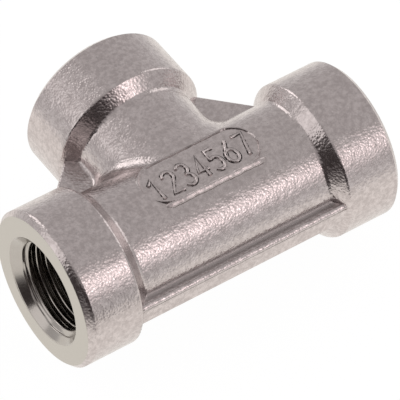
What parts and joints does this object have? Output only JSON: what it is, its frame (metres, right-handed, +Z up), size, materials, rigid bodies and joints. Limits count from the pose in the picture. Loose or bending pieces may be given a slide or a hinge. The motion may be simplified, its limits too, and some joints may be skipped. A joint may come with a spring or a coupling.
{
  "type": "pipe tee",
  "caption": "Cast steel pipe tee with banded collars round its female threaded ports, corner webs, a back rib and a sunken label panel.",
  "frame": {"origin": "where the axis of the run and the axis of the branch cross, in the middle of the through passage", "axes": "+X along the run, +Y out of the branch, +Z up, square to the middle plane of the rib and webs"},
  "size_m": [0.034, 0.0247, 0.0154],
  "materials": {
    "cast_steel": "blasted investment casting, fine grained satin grey; end faces and threads machined bright"
  },
  "bodies": {
    "root": {"tee_body": "cast_steel"}
  },
  "joints": []
}
